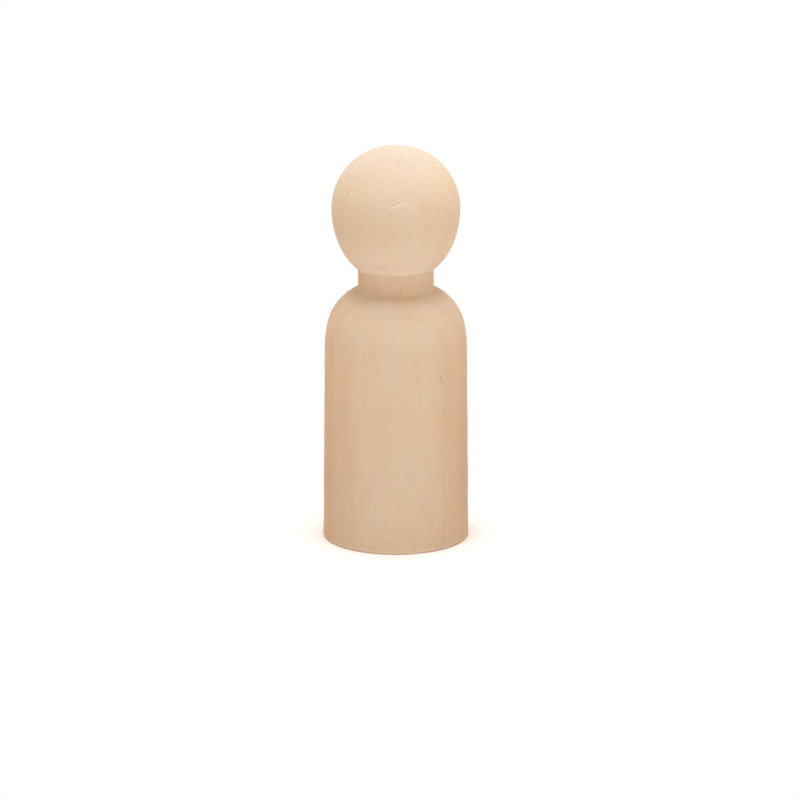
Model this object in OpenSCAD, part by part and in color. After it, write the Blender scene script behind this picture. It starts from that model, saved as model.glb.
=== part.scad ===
// Turned wooden peg doll: a body with neck and spigot, and a ball head glued over the spigot.
// Every profile is drawn right of the axis, X as radius and Y as height, and revolved about Z.

/* [Overall] */
// Height from the base to the crown
doll_h = 55; // [45:0.5:70]

/* [Body] */
// Diameter at the base
base_d = 20.2; // [18:0.1:26]
// Diameter at the top of the straight side
chest_d = 19.6; // [18:0.1:23]
// Radius of the rounded edge round the base
edge_r = 0.3; // [0.1:0.1:2]
// Radius of the long easy curve between the side and the shoulder
flank_r = 18.5; // [12:0.5:30]
// Angle that the easy curve turns through
flank_a = 10; // [2:1:20]
// Radius of the shoulder
shoulder_r = 7.1; // [5.5:0.1:9]

/* [Neck] */
// Diameter of the neck
neck_d = 10.4; // [9:0.1:13]
// Height of the neck between the shoulder and the head
neck_h = 2.7; // [1:0.1:6]
// Radius of the fillet at the foot of the neck
neck_fillet = 0.4; // [0.1:0.1:0.9]

/* [Head] */
// Largest diameter of the head
head_d = 17.6; // [16:0.1:21]
// How far the crown is flattened below a true half ball
crown_drop = 0.25; // [0.1:0.05:1.5]
// Radius of the flattened top of the crown
crown_r = 11.5; // [11:0.1:16]
// Radius of the jaw, just under the widest part
jaw_r = 12.8; // [10:0.1:18]
// Angle that the jaw turns through
jaw_a = 24; // [10:1:40]
// Radius of the chin, from the jaw in to the neck
chin_r = 8.9; // [7:0.1:10]

/* [Spigot joint] */
// Diameter of the spigot that carries the head
spigot_d = 6; // [4:0.1:8]
// Length of the spigot above the neck
spigot_h = 8; // [4:0.5:10]
// Chamfer round the tip of the spigot
spigot_chamfer = 0.6; // [0.2:0.1:1.5]
// Glue clearance all round the spigot
glue_gap = 0.1; // [0.05:0.05:0.3]
// Glue pocket left over the tip of the spigot
glue_pocket = 0.5; // [0.2:0.1:2]
// Countersink at the mouth of the head's bore
bore_countersink = 0.4; // [0.2:0.1:1]
// Point angle of the drill that made the bore
drill_angle = 118; // [90:1:150]

/* [Hidden] */
$fn = 128;

// Worked-out heights and radii are kept to a ten-thousandth of a millimetre
function snap(v) = round(v * 10000) / 10000;

base_r = base_d / 2;
chest_r = chest_d / 2;
neck_r = neck_d / 2;
head_r = head_d / 2;
spigot_r = spigot_d / 2;

// Crown arc, centred on the axis, and the cheek arc, tangent to it and upright at the widest part
crown_z = doll_h - crown_r;
crown_h = head_r - crown_drop;
cheek_r = snap((crown_r ^ 2 - head_r ^ 2 - (crown_r - crown_h) ^ 2) / (2 * (crown_r - head_r)));
cheek_x = head_r - cheek_r;
cheek_rise = sqrt((crown_r - cheek_r) ^ 2 - cheek_x ^ 2);
cheek_z = crown_z + cheek_rise;
crown_edge = snap(crown_r * cheek_x / (crown_r - cheek_r));

// Jaw arc, upright at the widest part, and the chin arc, tangent to it and running in to the neck
widest_z = snap(cheek_z);
jaw_x = head_r - jaw_r;
jaw_foot = snap(cheek_z - jaw_r * sin(jaw_a));
chin_x = jaw_x + (jaw_r - chin_r) * cos(jaw_a);
chin_z = cheek_z - (jaw_r - chin_r) * sin(jaw_a);
neck_top = snap(chin_z - sqrt(chin_r ^ 2 - (neck_r - chin_x) ^ 2));

// Flank arc, which eases the side in, and the shoulder arc, tangent to it and running up to the neck
flank_x = chest_r - flank_r;
shoulder_x = flank_x + (flank_r - shoulder_r) * cos(flank_a);
shoulder_rise = (flank_r - shoulder_r) * sin(flank_a);
shoulder_h = shoulder_rise + sqrt(shoulder_r ^ 2 - (neck_r - shoulder_x) ^ 2);
side_h = snap(neck_top - neck_h - shoulder_h);
flank_top = snap(side_h + flank_r * sin(flank_a));
shoulder_z = side_h + shoulder_rise;

// Fillet arc, tangent to the neck and to the shoulder arc
fillet_x = neck_r + neck_fillet;
fillet_rise = sqrt((shoulder_r + neck_fillet) ^ 2 - (fillet_x - shoulder_x) ^ 2);
fillet_z = shoulder_z + fillet_rise;
fillet_top = snap(fillet_z);
fillet_edge = snap(shoulder_x + (fillet_x - shoulder_x) * shoulder_r / (shoulder_r + neck_fillet));

// Spigot and the bore that takes it
spigot_top = neck_top + spigot_h;
bore_r = spigot_r + glue_gap;
bore_end = spigot_top + glue_pocket;
bore_tip = bore_end + bore_r / tan(drill_angle / 2);

// Disc of radius r at x, z, moved there by a coarse and then a fine step so that tangent arcs meet
module disc(x, z, r) {
    translate([snap(x), snap(z)]) translate([x - snap(x), z - snap(z)]) circle(r = r);
}

// Slab from the axis out to a radius, between two heights
module slab(radius, z_from, z_to) {
    translate([0, z_from]) square([radius, z_to - z_from]);
}

// Slab whose outer side is the arc of a disc
module arc_slab(x, z, r, z_from, z_to) {
    intersection() {
        disc(x, z, r);
        slab(snap(x) + 2 * r, z_from, z_to);
    }
}

module base_profile() {
    slab(base_r - edge_r, 0, edge_r);
    arc_slab(base_r - edge_r, edge_r, edge_r, 0, edge_r);
}

module side_profile() {
    polygon([[0, edge_r], [base_r, edge_r], [chest_r, side_h], [0, side_h]]);
}

module shoulder_profile() {
    arc_slab(flank_x, side_h, flank_r, side_h, flank_top);
    arc_slab(shoulder_x, shoulder_z, shoulder_r, side_h, fillet_top);
}

module neck_profile() {
    slab(neck_r, side_h, neck_top);
    difference() {
        slab(fillet_edge, side_h, fillet_top);
        disc(fillet_x, fillet_z, neck_fillet);
    }
}

module spigot_profile() {
    tip_r = spigot_r - spigot_chamfer;
    polygon([
        [0, neck_top],
        [spigot_r, neck_top],
        [spigot_r, spigot_top - spigot_chamfer],
        [tip_r, spigot_top],
        [0, spigot_top]
    ]);
}

module head_profile() {
    arc_slab(chin_x, chin_z, chin_r, neck_top, jaw_foot);
    arc_slab(jaw_x, cheek_z, jaw_r, jaw_foot, widest_z);
    arc_slab(cheek_x, cheek_z, cheek_r, widest_z, doll_h);
    intersection() {
        disc(0, crown_z, crown_r);
        slab(crown_edge, widest_z, doll_h + head_r);
    }
}

module bore_profile() {
    polygon([
        [0, neck_top],
        [bore_r + bore_countersink, neck_top],
        [bore_r, neck_top + bore_countersink],
        [bore_r, bore_end],
        [0, bore_tip]
    ]);
}

module body() {
    color("burlywood") rotate_extrude() union() {
        base_profile();
        side_profile();
        shoulder_profile();
        neck_profile();
        spigot_profile();
    }
}

module head() {
    color("wheat") rotate_extrude() difference() {
        head_profile();
        bore_profile();
    }
}

body();
head();
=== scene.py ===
"""A turned peg doll in bare pale hardwood, on a white floor under soft studio light."""
import math

import bpy
import numpy as np
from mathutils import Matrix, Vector


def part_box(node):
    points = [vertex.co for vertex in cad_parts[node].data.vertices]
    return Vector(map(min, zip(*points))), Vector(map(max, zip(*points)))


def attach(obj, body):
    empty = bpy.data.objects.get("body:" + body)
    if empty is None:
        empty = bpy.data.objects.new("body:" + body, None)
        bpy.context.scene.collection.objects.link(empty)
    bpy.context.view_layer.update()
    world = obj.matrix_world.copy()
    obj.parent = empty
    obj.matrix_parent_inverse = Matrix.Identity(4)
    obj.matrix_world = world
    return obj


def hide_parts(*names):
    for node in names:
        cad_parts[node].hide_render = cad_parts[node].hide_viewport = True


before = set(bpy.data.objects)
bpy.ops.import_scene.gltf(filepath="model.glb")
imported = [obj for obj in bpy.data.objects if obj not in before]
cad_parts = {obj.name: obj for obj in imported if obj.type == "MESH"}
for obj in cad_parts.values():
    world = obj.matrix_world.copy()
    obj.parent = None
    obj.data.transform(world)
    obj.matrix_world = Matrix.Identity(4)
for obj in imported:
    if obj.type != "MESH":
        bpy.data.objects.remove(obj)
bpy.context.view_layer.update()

# Sizes that the frame gives, in millimetres
MM = 0.001
BODY_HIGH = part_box("body")[1] / MM
HEAD_LOW, HEAD_HIGH = (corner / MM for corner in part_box("head"))
DOLL_H = HEAD_HIGH.z
NECK_TOP = HEAD_LOW.z
SPIGOT_TOP = BODY_HIGH.z
BASE_R = BODY_HIGH.x
HEAD_R = HEAD_HIGH.x

# Sizes of the body's outline, in millimetres and degrees
EDGE_R = 0.3
CHEST_R = 9.8
FLANK_R = 18.5
FLANK_A = 10.0
SHOULDER_R = 7.1
NECK_R = 5.2
NECK_H = 2.7
FILLET_R = 0.4

# Sizes of the head's outline
CROWN_DROP = 0.25
CROWN_R = 11.5
JAW_R = 12.8
JAW_A = 24.0
CHIN_R = 8.9

# Sizes of the joint between them
SPIGOT_R = 3.0
SPIGOT_CHAMFER = 0.6
GLUE_GAP = 0.1
GLUE_POCKET = 0.5
COUNTERSINK = 0.4
DRILL_A = 118.0
SEAM_R = 0.03

# Spacing of the points along a shown and a hidden stretch of outline, the least steps of an arc,
# and the sides of a turned ring
STEP = 0.22
HIDDEN_STEP = 1.2
ARC_STEPS = 6
RING_SIDES = 256

# How far the surface may stray from true round, over what change of radius that sets in,
# its lobes round the axis, the span of their pitch along it, and a seed for each piece
UNEVEN = 0.02
UNEVEN_EASE = 1.5
UNEVEN_LOBES = range(2, 8)
UNEVEN_PITCH = (7.0, 22.0)
BODY_SEED = 11
HEAD_SEED = 23

# How far the growth rings waver and how ragged the marks are, in millimetres
WAVER = 1.6
RAGGED = 0.16

# Width of a mark at its ends, and of its core, as shares of its full width
STROKE_END = 0.4
STROKE_CORE = 0.2

# Noise in the wood: stretch along each axis, scale, detail and roughness
WAVER_NOISE = ((0.09, 0.09, 0.03), 1.0, 2.0, 0.5)
FIBRE_NOISE = ((1, 1, 0.13), 3.6, 4.0, 0.62)
HAIR_NOISE = ((1, 1, 0.07), 12.0, 2.0, 0.5)
STREAK_NOISE = ((1, 1, 0.05), 0.75, 3.0, 0.55)
MOTTLE_NOISE = ((1, 1, 0.6), 2.1, 4.0, 0.6)
SANDING_NOISE = ((0.12, 0.12, 1), 5.0, 4.0, 0.6)
BLOTCH_NOISE = ((1, 1, 0.55), 0.24, 3.0, 0.55)
BLUSH_NOISE = ((1, 1, 0.5), 0.3, 3.0, 0.55)
RAGGED_NOISE = ((1, 1, 1), 2.2, 2.0, 0.5)
NOISE_MIDDLE = (0.5, 0.5, 0.5)
BLUSH_SHIFT = (31, 17, 5)

# Cells that the vessels and rays lie in: stretch along each axis and scale
VESSEL_CELLS = ((5.5, 5.5, 0.9), 1.0)
RAY_CELLS = ((3.2, 3.2, 1.1), 5.0)
RAY_SHIFT = (7.3, 1.9, 4.1)

# Span over which each figure sets in
LATE_SPAN = (0.25, 0.92)
LATE_END = (1.0, 0.94)
STREAK_SPAN = (0.3, 0.7)
FIBRE_SPAN = (0.3, 0.75)
HAIR_SPAN = (0.35, 0.7)
MOTTLE_SPAN = (0.35, 0.7)
VESSEL_SPAN = (0.24, 0.10)
VESSEL_HAIRS = (0.42, 0.62)
RAY_SPAN = (0.16, 0.06)
SANDING_SPAN = (0.35, 0.7)
BLOTCH_SPAN = (0.38, 0.64)
BLUSH_SPAN = (0.42, 0.66)
END_SPAN = (0.75, 1.0)

# Tint of each figure
LATE_TINT = (0.965, 0.945, 0.915)
SEASON_TINT = (0.985, 0.98, 0.972)
STREAK_TINT = (0.965, 0.952, 0.935)
FIBRE_TINT = (0.955, 0.942, 0.925)
HAIR_TINT = (0.975, 0.968, 0.96)
MOTTLE_TINT = (0.952, 0.942, 0.93)
VESSEL_TINT = (0.86, 0.82, 0.77)
RAY_TINT = (0.95, 0.93, 0.90)
SANDING_TINT = (0.982, 0.978, 0.972)
BLOTCH_TINT = (1.0, 0.985, 0.935)
BLUSH_TINT = (1.0, 0.968, 0.975)
END_TINT = (0.985, 0.98, 0.97)

# A band of painted light or shade is weaker where there is less blotch: the span of the blotch, and the
# least strength
BAND_SPAN = (0.2, 0.6)
BAND_LEAST = 0.6

# Relief of the figures in millimetres
FIBRE_RELIEF = -0.012
VESSEL_RELIEF = -0.012
HAIR_RELIEF = -0.006
SANDING_RELIEF = 0.010

# Roughness of the wood, what sanding and vessels add to it, and its gloss
WOOD_ROUGHNESS = 0.56
SANDING_ROUGHNESS = 0.16
VESSEL_ROUGHNESS = 0.12
WOOD_SPECULAR = 0.1

# Marks seen in the photograph: two ends (across, height), width and tint
BODY_MARKS = [
    ((5.97, 24.98), (6.13, 24.02), 0.17, (0.79, 0.68, 0.61)),
    ((-7.5, 30.32), (-7.45, 30.20), 0.3, (0.77, 0.69, 0.61)),
    ((-2.8, 29.3), (-2.85, 27.9), 0.7, (0.965, 0.945, 0.925)),
]
HEAD_MARKS = [
    ((-0.80, 48.24), (1.33, 49.02), 0.21, (1.17, 1.23, 1.31)),
    ((-0.45, 48.88), (1.05, 49.41), 0.15, (1.08, 1.10, 1.13)),
    ((1.34, 48.78), (1.56, 48.58), 0.16, (1.10, 1.13, 1.18)),
    ((-6.17, 49.68), (-5.68, 49.89), 0.21, (1.16, 1.22, 1.28)),
    ((-4.98, 50.82), (-4.68, 50.92), 0.20, (1.13, 1.17, 1.22)),
    # a painted shadow along the upper edge of the first scratch
    ((-0.46, 48.64), (1.12, 49.22), 0.16, (0.89, 0.87, 0.85)),
]

# Soft bands of painted light and shade round the axis: radius and height, reach and tint
BODY_PAINTED_SHADE_AND_LIGHT = [
    # painted shade on the shoulder at the neck's foot, where the head shades it
    ((NECK_R + 0.8, NECK_TOP - NECK_H - 0.2), 2.2, (0.957, 0.90, 0.82)),
    # painted shade on the neck under the head
    ((NECK_R, NECK_TOP - 1.2), 2.2, (0.98, 0.945, 0.895)),
    # painted light along the base's edge, which lifts its shadow line
    ((BASE_R, 0.0), 0.8, (1.16, 1.17, 1.18)),
]
HEAD_PAINTED_LIGHT = [
    # painted light bounced up from the shoulders onto the underside of the head
    ((NECK_R + 0.3, NECK_TOP + 0.3), 2.2, (1.15, 1.20, 1.28)),
    ((NECK_R + 1.5, NECK_TOP + 1.5), 6.0, (1.09, 1.15, 1.24)),
    # a paler painted highlight on the crown
    ((0.0, DOLL_H), 12.0, (1.0, 1.13, 1.29)),
]

# Camera, at the photograph's viewing angle and framing, in degrees and metres
CAMERA_ELEVATION = 15.4
CAMERA_DISTANCE = 0.52
CAMERA_LENS = 169.1
CAMERA_AIM = Vector((0.00057, 0.0, 0.01928))
CLIP_NEAR = 0.01
CLIP_FAR = 20.0

# Floor, in metres: the radii between which it shades off from shadow to white
FLOOR_R = 4.0
FLOOR_SIDES = 96
FLOOR_COLOR = (0.92, 0.92, 0.92, 1)
FLOOR_ROUGHNESS = 0.9
SHADOW_R = 0.014
WHITE_R = 0.028
WHITE = (1, 1, 1, 1)

# Cards at both sides, in metres
CARD_GAP = 0.042
CARD_FRONT = -0.03
CARD_BACK = 0.045
CARD_H = 0.035
CARD_COLOR = (0.61, 0.35, 0.07, 1)
CARD_ROUGHNESS = 0.5

# Lamps: name, place, width and height in metres, watts
LAMP_AIM = Vector((0, 0, 0.028))
LAMPS = [
    ("top", (0.0, 0.0, 0.93), 0.6, 0.6, 7.8),
    ("left", (-0.88, -0.08, 0.12), 0.4, 0.18, 0.45),
    ("right", (0.88, -0.08, 0.12), 0.4, 0.18, 0.85),
    ("front", (0.62, -0.62, 0.25), 0.4, 0.18, 0.45),
]

# Ring of light in the world: its strength, and the elevations over which its foot and its top fade
RING_LEVEL = 2.1
RING_FOOT = (9.0, 19.0)
RING_TOP = (47.0, 35.0)


class Outline:
    """Half section of a turned piece, as radius and height in millimetres, walked from axis to axis."""

    def __init__(self, r, z):
        self.points = [(r, z)]

    def line(self, r, z, step=STEP):
        r0, z0 = self.points[-1]
        count = max(1, math.ceil(math.hypot(r - r0, z - z0) / step))
        for i in range(1, count + 1):
            t = i / count
            self.points.append((r0 + (r - r0) * t, z0 + (z - z0) * t))

    def arc(self, x, z, radius, start, end):
        count = max(ARC_STEPS, math.ceil(math.radians(abs(end - start)) * radius / STEP))
        for i in range(1, count + 1):
            a = math.radians(start + (end - start) * i / count)
            self.points.append((x + radius * math.cos(a), z + radius * math.sin(a)))

    def radius_at(self, z):
        """Widest radius at a height."""
        best = 0.0
        for (r0, z0), (r1, z1) in zip(self.points, self.points[1:]):
            if min(z0, z1) <= z <= max(z0, z1) and z0 != z1:
                best = max(best, r0 + (r1 - r0) * (z - z0) / (z1 - z0))
        return best


def body_outline():
    flank_x = CHEST_R - FLANK_R
    lean = math.radians(FLANK_A)
    shoulder_x = flank_x + (FLANK_R - SHOULDER_R) * math.cos(lean)
    shoulder_rise = (FLANK_R - SHOULDER_R) * math.sin(lean)
    shoulder_z = NECK_TOP - NECK_H - math.sqrt(SHOULDER_R ** 2 - (NECK_R - shoulder_x) ** 2)
    side_h = shoulder_z - shoulder_rise
    fillet_x = NECK_R + FILLET_R
    fillet_z = shoulder_z + math.sqrt((SHOULDER_R + FILLET_R) ** 2 - (fillet_x - shoulder_x) ** 2)
    shoulder_end = math.degrees(math.atan2(fillet_z - shoulder_z, fillet_x - shoulder_x))
    o = Outline(0.0, 0.0)
    o.line(BASE_R - EDGE_R, 0.0)
    o.arc(BASE_R - EDGE_R, EDGE_R, EDGE_R, -90, 0)
    o.line(CHEST_R, side_h)
    o.arc(flank_x, side_h, FLANK_R, 0, FLANK_A)
    o.arc(shoulder_x, shoulder_z, SHOULDER_R, FLANK_A, shoulder_end)
    o.arc(fillet_x, fillet_z, FILLET_R, 180 + shoulder_end, 180)
    o.line(NECK_R, NECK_TOP - SEAM_R)
    o.arc(NECK_R - SEAM_R, NECK_TOP - SEAM_R, SEAM_R, 0, 90)
    o.line(SPIGOT_R, NECK_TOP, HIDDEN_STEP)
    o.line(SPIGOT_R, SPIGOT_TOP - SPIGOT_CHAMFER, HIDDEN_STEP)
    o.line(SPIGOT_R - SPIGOT_CHAMFER, SPIGOT_TOP, HIDDEN_STEP)
    o.line(0.0, SPIGOT_TOP, HIDDEN_STEP)
    return o


def head_outline():
    crown_z = DOLL_H - CROWN_R
    rise = CROWN_R - (HEAD_R - CROWN_DROP)
    cheek_r = (CROWN_R ** 2 - HEAD_R ** 2 - rise ** 2) / (2 * (CROWN_R - HEAD_R))
    cheek_x = HEAD_R - cheek_r
    widest_z = crown_z + rise
    cheek_end = math.degrees(math.atan2(rise, cheek_x))
    jaw_x = HEAD_R - JAW_R
    drop = math.radians(JAW_A)
    chin_x = jaw_x + (JAW_R - CHIN_R) * math.cos(drop)
    chin_z = widest_z - (JAW_R - CHIN_R) * math.sin(drop)
    seam_z = NECK_TOP + SEAM_R
    seam_x = chin_x + math.sqrt((CHIN_R - SEAM_R) ** 2 - (chin_z - seam_z) ** 2)
    chin_start = math.degrees(math.atan2(seam_z - chin_z, seam_x - chin_x))
    bore_r = SPIGOT_R + GLUE_GAP
    bore_end = SPIGOT_TOP + GLUE_POCKET
    o = Outline(0.0, bore_end + bore_r / math.tan(math.radians(DRILL_A / 2)))
    o.line(bore_r, bore_end, HIDDEN_STEP)
    o.line(bore_r, NECK_TOP + COUNTERSINK, HIDDEN_STEP)
    o.line(bore_r + COUNTERSINK, NECK_TOP, HIDDEN_STEP)
    o.line(seam_x, NECK_TOP, HIDDEN_STEP)
    o.arc(seam_x, seam_z, SEAM_R, -90, chin_start)
    o.arc(chin_x, chin_z, CHIN_R, chin_start, -JAW_A)
    o.arc(jaw_x, widest_z, JAW_R, -JAW_A, 0)
    o.arc(cheek_x, widest_z, cheek_r, 0, cheek_end)
    o.arc(0.0, crown_z, CROWN_R, cheek_end, 90)
    return o


def unevenness(rings, turn, seed):
    """How far sanding and drying leave each point off the true round, in millimetres; none at the joint."""
    rng = np.random.default_rng(seed)
    off = np.zeros((len(rings), len(turn)))
    height = rings[:, 1:]
    for lobes in UNEVEN_LOBES:
        pitch = rng.uniform(*UNEVEN_PITCH)
        start, lean = rng.uniform(0, 2 * math.pi, 2)
        off += np.cos(lobes * turn + start) * np.cos(2 * math.pi * height / pitch + lean) / lobes
    free = np.clip((rings[:, :1] - NECK_R) / UNEVEN_EASE, 0, 1)
    return UNEVEN * off * free


def lathe(name, outline, seed):
    """A closed mesh of the outline turned about the upright axis."""
    points = np.array(outline.points)
    rings = points[1:-1]
    turn = np.linspace(0, 2 * math.pi, RING_SIDES, endpoint=False)
    radius = rings[:, :1] + unevenness(rings, turn, seed)
    x = radius * np.cos(turn)
    y = radius * np.sin(turn)
    z = np.repeat(rings[:, 1:], RING_SIDES, axis=1)
    co = np.stack([x, y, z], axis=2).reshape(-1, 3)
    first = len(co)
    last = first + 1
    co = np.vstack([co, [0, 0, points[0, 1]], [0, 0, points[-1, 1]]]) * MM
    side = np.arange(RING_SIDES)
    after = (side + 1) % RING_SIDES
    faces = []
    for i in range(len(rings) - 1):
        low = i * RING_SIDES
        high = low + RING_SIDES
        faces += np.stack([low + side, low + after, high + after, high + side], axis=1).tolist()
    end = (len(rings) - 1) * RING_SIDES
    faces += [[first, b, a] for a, b in zip(side.tolist(), after.tolist())]
    faces += [[last, end + a, end + b] for a, b in zip(side.tolist(), after.tolist())]
    mesh = bpy.data.meshes.new(name)
    mesh.from_pydata(co.tolist(), [], faces)
    mesh.shade_smooth()
    made = bpy.data.objects.new(name, mesh)
    bpy.context.scene.collection.objects.link(made)
    return made


class Graph:
    """Adds nodes to a material with short calls; an input is a number, a colour or another output."""

    def __init__(self, tree):
        self.tree = tree

    def node(self, kind, inputs, out=0, **settings):
        made = self.tree.nodes.new(kind)
        for key, value in settings.items():
            setattr(made, key, value)
        for key, value in dict(inputs).items():
            if isinstance(value, bpy.types.NodeSocket):
                self.tree.links.new(value, made.inputs[key])
            else:
                made.inputs[key].default_value = value
        return made.outputs[out]

    def math(self, operation, *values, clamp=False):
        return self.node("ShaderNodeMath", enumerate(values), operation=operation, use_clamp=clamp)

    def vector(self, operation, *values, out=0):
        return self.node("ShaderNodeVectorMath", enumerate(values), out, operation=operation)

    def scaled(self, vector, by):
        return self.node("ShaderNodeVectorMath", {0: vector, "Scale": by}, operation="SCALE")

    def upright(self, vector):
        """The upright part of a vector."""
        return self.node("ShaderNodeSeparateXYZ", {0: vector}, "Z")

    def noise(self, place, stretch, scale, detail, roughness, out=0):
        vector = self.vector("MULTIPLY", place, stretch)
        inputs = {"Vector": vector, "Scale": scale, "Detail": detail, "Roughness": roughness}
        return self.node("ShaderNodeTexNoise", inputs, out)

    def wander(self, place, noise):
        """Noise as a vector about nothing."""
        return self.vector("SUBTRACT", self.noise(place, *noise, out=1), NOISE_MIDDLE)

    def cells(self, place, stretch, scale):
        """Distance from the middle of the nearest cell."""
        inputs = {"Vector": self.vector("MULTIPLY", place, stretch), "Scale": scale}
        return self.node("ShaderNodeTexVoronoi", inputs)

    def remap(self, value, low, high, to_low=0.0, to_high=1.0):
        """Ease a value from one span to another, held at both ends."""
        inputs = {0: value, 1: low, 2: high, 3: to_low, 4: to_high}
        return self.node("ShaderNodeMapRange", inputs, interpolation_type="SMOOTHSTEP")

    def stain(self, color, share, tint):
        """Multiply a colour by a tint, as far as the share says."""
        inputs = {0: share, 6: color, 7: (*tint, 1.0)}
        return self.node("ShaderNodeMix", inputs, 2, data_type="RGBA", blend_type="MULTIPLY")

    def stroke(self, place, start, end, width):
        """Share of a soft stroke between two points, slimmer towards its ends."""
        along = Vector(end) - Vector(start)
        offset = self.vector("SUBTRACT", place, start)
        share = self.vector("DOT_PRODUCT", offset, along / along.length_squared, out=1)
        share = self.math("ADD", share, 0.0, clamp=True)
        gap = self.vector("DISTANCE", offset, self.scaled(tuple(along), share), out=1)
        middle = self.math("MULTIPLY", share, self.math("SUBTRACT", 1.0, share))
        slim = self.math("MULTIPLY_ADD", middle, 4 * (1 - STROKE_END), STROKE_END)
        return self.remap(self.math("DIVIDE", gap, slim), width, STROKE_CORE * width)

    def ring(self, radius, height, at, reach):
        """Share of a soft band round the axis, by distance from a radius and height."""
        across = self.math("SUBTRACT", radius, at[0])
        up = self.math("SUBTRACT", height, at[1])
        square = self.math("ADD", self.math("MULTIPLY", across, across), self.math("MULTIPLY", up, up))
        return self.remap(self.math("SQRT", square), reach, 0.0)


def on_front(outline, x, z):
    """Point on the front of a turned piece, by its place across and its height."""
    return (x, -math.sqrt(outline.radius_at(z) ** 2 - x ** 2), z)


def turned_wood(name, pith, lean, ring_width, ring_depth, fibre_depth, seed, base, outline, marks, painted_light_and_shade):
    """Bare turned wood: growth rings about a pith, fibres along the height, sanding round it; painted light
    and shade in bands round the axis.
    """
    material = bpy.data.materials.new(name)
    material.use_nodes = True
    tree = material.node_tree
    g = Graph(tree)
    coords = tree.nodes.new("ShaderNodeTexCoord").outputs
    place = g.scaled(coords["Object"], 1 / MM)
    height = g.upright(place)
    radius = g.vector("LENGTH", g.vector("MULTIPLY", place, (1, 1, 0)), out=1)
    end_grain = g.remap(g.math("ABSOLUTE", g.upright(coords["Normal"])), *END_SPAN)
    grain = g.vector("ADD", place, seed)

    # Growth rings: distance from a leaning, wavering pith
    bent = g.vector("ADD", place, g.vector("MULTIPLY", g.wander(grain, WAVER_NOISE), (WAVER, WAVER, 0)))
    rise = g.node("ShaderNodeCombineXYZ", {0: height, 1: height})
    axis = g.vector("ADD", g.vector("MULTIPLY", rise, (*lean, 0)), (*pith, 0))
    from_pith = g.vector("MULTIPLY", g.vector("SUBTRACT", bent, axis), (1, 1, 0))
    growth = g.math("DIVIDE", g.vector("LENGTH", from_pith, out=1), ring_width)
    year = g.math("FRACT", growth)
    late = g.math("MULTIPLY", g.remap(year, *LATE_SPAN), g.remap(year, *LATE_END))
    season = g.node("ShaderNodeTexWhiteNoise", {"W": g.math("FLOOR", growth)}, noise_dimensions="1D")

    # Fibres, streaks, vessels and rays, all drawn out along the height
    fibres = g.noise(grain, *FIBRE_NOISE)
    hairs = g.noise(grain, *HAIR_NOISE)
    streaks = g.noise(grain, *STREAK_NOISE)
    mottle = g.noise(grain, *MOTTLE_NOISE)
    vessels = g.remap(g.cells(grain, *VESSEL_CELLS), *VESSEL_SPAN)
    vessels = g.math("MULTIPLY", vessels, g.remap(hairs, *VESSEL_HAIRS))
    rays = g.remap(g.cells(g.vector("ADD", grain, RAY_SHIFT), *RAY_CELLS), *RAY_SPAN)

    # Sanding scratches round the axis, and broad blotches
    sanding = g.noise(grain, *SANDING_NOISE)
    blotch = g.noise(grain, *BLOTCH_NOISE)
    blush = g.noise(g.vector("ADD", grain, BLUSH_SHIFT), *BLUSH_NOISE)

    stains = [
        (g.math("MULTIPLY", late, ring_depth), LATE_TINT),
        (g.math("MULTIPLY", season, ring_depth), SEASON_TINT),
        (g.remap(streaks, *STREAK_SPAN, 0.0, fibre_depth), STREAK_TINT),
        (g.remap(fibres, *FIBRE_SPAN, 0.0, fibre_depth), FIBRE_TINT),
        (g.remap(hairs, *HAIR_SPAN, 0.0, fibre_depth), HAIR_TINT),
        (g.remap(mottle, *MOTTLE_SPAN), MOTTLE_TINT),
        (vessels, VESSEL_TINT),
        (rays, RAY_TINT),
        (g.remap(sanding, *SANDING_SPAN), SANDING_TINT),
        (g.remap(blotch, *BLOTCH_SPAN), BLOTCH_TINT),
        (g.remap(blush, *BLUSH_SPAN), BLUSH_TINT),
        (end_grain, END_TINT),
    ]

    # Painted light and shade in bands round the axis, and single marks with a ragged edge
    strength = g.remap(blotch, *BAND_SPAN, BAND_LEAST, 1.0)
    for at, reach, tint in painted_light_and_shade:
        stains.append((g.math("MULTIPLY", g.ring(radius, height, at, reach), strength), tint))
    ragged = g.vector("ADD", place, g.scaled(g.wander(grain, RAGGED_NOISE), RAGGED))
    for start, end, width, tint in marks:
        share = g.stroke(ragged, on_front(outline, *start), on_front(outline, *end), width)
        stains.append((share, tint))

    color = (*base, 1.0)
    for share, tint in stains:
        color = g.stain(color, share, tint)

    relief = g.math("MULTIPLY", fibres, FIBRE_RELIEF)
    relief = g.math("MULTIPLY_ADD", vessels, VESSEL_RELIEF, relief)
    relief = g.math("MULTIPLY_ADD", hairs, HAIR_RELIEF, relief)
    relief = g.math("MULTIPLY_ADD", sanding, SANDING_RELIEF, relief)
    normal = g.node("ShaderNodeBump", {"Strength": 1.0, "Distance": MM, "Height": relief})
    roughness = g.math("MULTIPLY_ADD", sanding, SANDING_ROUGHNESS, WOOD_ROUGHNESS)
    roughness = g.math("MULTIPLY_ADD", vessels, VESSEL_ROUGHNESS, roughness)
    shader = tree.nodes["Principled BSDF"].inputs
    tree.links.new(color, shader["Base Color"])
    tree.links.new(roughness, shader["Roughness"])
    tree.links.new(normal, shader["Normal"])
    shader["Specular IOR Level"].default_value = WOOD_SPECULAR
    return material


def matt(name, color, roughness):
    """A plain material without gloss, for the stage."""
    material = bpy.data.materials.new(name)
    material.use_nodes = True
    shader = material.node_tree.nodes["Principled BSDF"].inputs
    shader["Base Color"].default_value = color
    shader["Roughness"].default_value = roughness
    shader["Specular IOR Level"].default_value = 0.0
    return material


def piece(name, node, outline, material, seed):
    """A turned piece that stands for a node of the frame."""
    made = lathe(name, outline, seed)
    made.data.materials.append(material)
    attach(made, "root")
    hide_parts(node)


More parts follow.
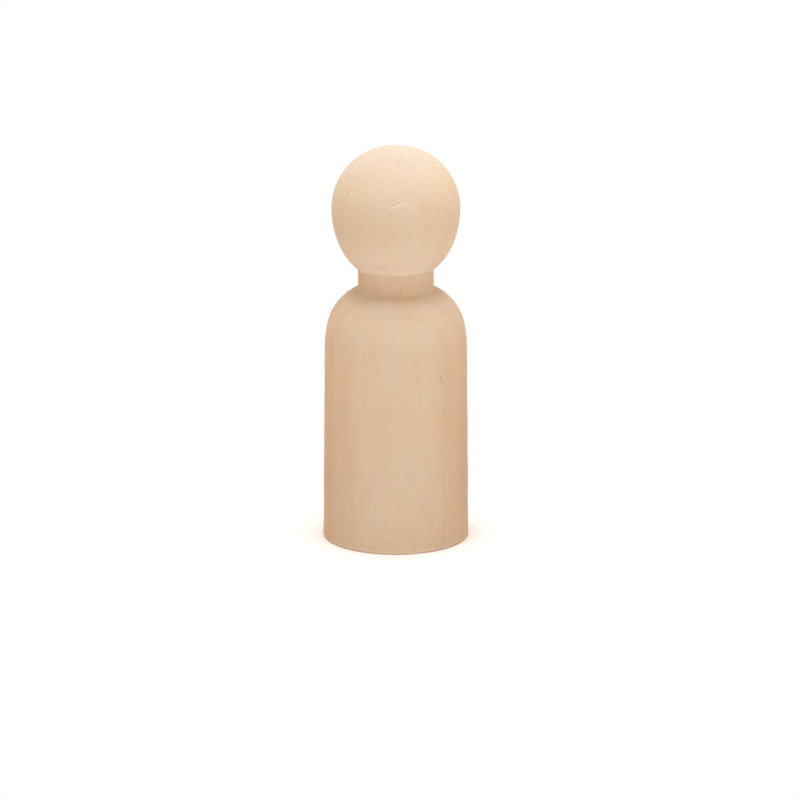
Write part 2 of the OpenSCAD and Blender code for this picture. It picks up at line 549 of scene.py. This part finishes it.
body_shape = body_outline()
head_shape = head_outline()
body_wood = turned_wood(
    "body_wood",
    pith=(-0.68, 25.0),
    lean=(0.0, 0.0156),
    ring_width=2.6,
    ring_depth=0.6,
    fibre_depth=0.5,
    seed=(3.1, 8.7, 0.4),
    base=(0.611, 0.468, 0.345),
    outline=body_shape,
    marks=BODY_MARKS,
    painted_light_and_shade=BODY_PAINTED_SHADE_AND_LIGHT,
)
head_wood = turned_wood(
    "head_wood",
    pith=(6.0, 31.0),
    lean=(0.03, -0.05),
    ring_width=2.3,
    ring_depth=0.28,
    fibre_depth=0.25,
    seed=(41.3, 12.9, 77.0),
    base=(0.616, 0.467, 0.340),
    outline=head_shape,
    marks=HEAD_MARKS,
    painted_light_and_shade=HEAD_PAINTED_LIGHT,
)
piece("turned_body", "body", body_shape, body_wood, BODY_SEED)
piece("turned_head", "head", head_shape, head_wood, HEAD_SEED)

# Camera
camera = bpy.data.objects.new("camera", bpy.data.cameras.new("camera"))
tilt = math.radians(CAMERA_ELEVATION)
back = Vector((0.0, -math.cos(tilt), math.sin(tilt)))
camera.location = CAMERA_AIM + back * CAMERA_DISTANCE
camera.rotation_euler = (-back).to_track_quat("-Z", "Y").to_euler()
camera.data.lens = CAMERA_LENS
camera.data.clip_start = CLIP_NEAR
camera.data.clip_end = CLIP_FAR
bpy.context.scene.collection.objects.link(camera)
bpy.context.scene.camera = camera

# Floor: pale paper that shades off to plain white where the camera sees it away from the doll
bpy.ops.mesh.primitive_circle_add(vertices=FLOOR_SIDES, radius=FLOOR_R, fill_type="NGON", location=(0, 0, 0))
floor = bpy.context.object
floor.name = "floor"
paper = matt("floor_paper", FLOOR_COLOR, FLOOR_ROUGHNESS)
tree = paper.node_tree
g = Graph(tree)
from_doll = g.vector("LENGTH", g.node("ShaderNodeTexCoord", {}, "Object"), out=1)
camera_ray = g.node("ShaderNodeLightPath", {}, "Is Camera Ray")
away = g.math("MULTIPLY", g.remap(from_doll, SHADOW_R, WHITE_R), camera_ray)
white = g.node("ShaderNodeEmission", {"Color": WHITE, "Strength": 1.0})
lit_paper = tree.nodes["Principled BSDF"].outputs["BSDF"]
floor_look = g.node("ShaderNodeMixShader", {0: away, 1: lit_paper, 2: white})
tree.links.new(floor_look, tree.nodes["Material Output"].inputs["Surface"])
floor.data.materials.append(paper)

# Warm kraft cards at both sides, low and out of the camera's sight, which shade and warm the body's edges
kraft = matt("kraft_card", CARD_COLOR, CARD_ROUGHNESS)
for side, x in (("left", -CARD_GAP), ("right", CARD_GAP)):
    mesh = bpy.data.meshes.new("card_" + side)
    corners = [(x, CARD_FRONT, 0), (x, CARD_BACK, 0), (x, CARD_BACK, CARD_H), (x, CARD_FRONT, CARD_H)]
    mesh.from_pydata(corners, [], [(0, 1, 2, 3)])
    mesh.materials.append(kraft)
    card = bpy.data.objects.new("card_" + side, mesh)
    card.visible_camera = False
    bpy.context.scene.collection.objects.link(card)

# Lamps
for name, place, width, height, watts in LAMPS:
    lamp = bpy.data.lights.new(name, "AREA")
    lamp.shape = "RECTANGLE"
    lamp.size = width
    lamp.size_y = height
    lamp.energy = watts
    light = bpy.data.objects.new(name, lamp)
    light.location = place
    light.rotation_euler = (LAMP_AIM - light.location).to_track_quat("-Z", "Y").to_euler()
    light.visible_camera = False
    bpy.context.scene.collection.objects.link(light)

# World: a ring of soft light all round, and white where the camera or a gloss sees it
world = bpy.data.worlds.new("studio")
world.use_nodes = True
bpy.context.scene.world = world
tree = world.node_tree
g = Graph(tree)
up = g.upright(g.node("ShaderNodeTexCoord", {}, "Generated"))
foot = g.remap(up, *(math.sin(math.radians(a)) for a in RING_FOOT))
top = g.remap(up, *(math.sin(math.radians(a)) for a in RING_TOP))
level = g.math("MULTIPLY", g.math("MULTIPLY", foot, top), RING_LEVEL)
lit = g.node("ShaderNodeBackground", {"Color": WHITE, "Strength": level})
seen = g.node("ShaderNodeBackground", {"Color": WHITE, "Strength": 1.0})
path = tree.nodes.new("ShaderNodeLightPath").outputs
direct = g.math("MAXIMUM", path["Is Glossy Ray"], path["Is Transmission Ray"])
direct = g.math("MAXIMUM", path["Is Camera Ray"], direct)
sky = g.node("ShaderNodeMixShader", {0: direct, 1: lit, 2: seen})
tree.links.new(sky, tree.nodes["World Output"].inputs["Surface"])

bpy.context.scene.view_settings.view_transform = "Standard"
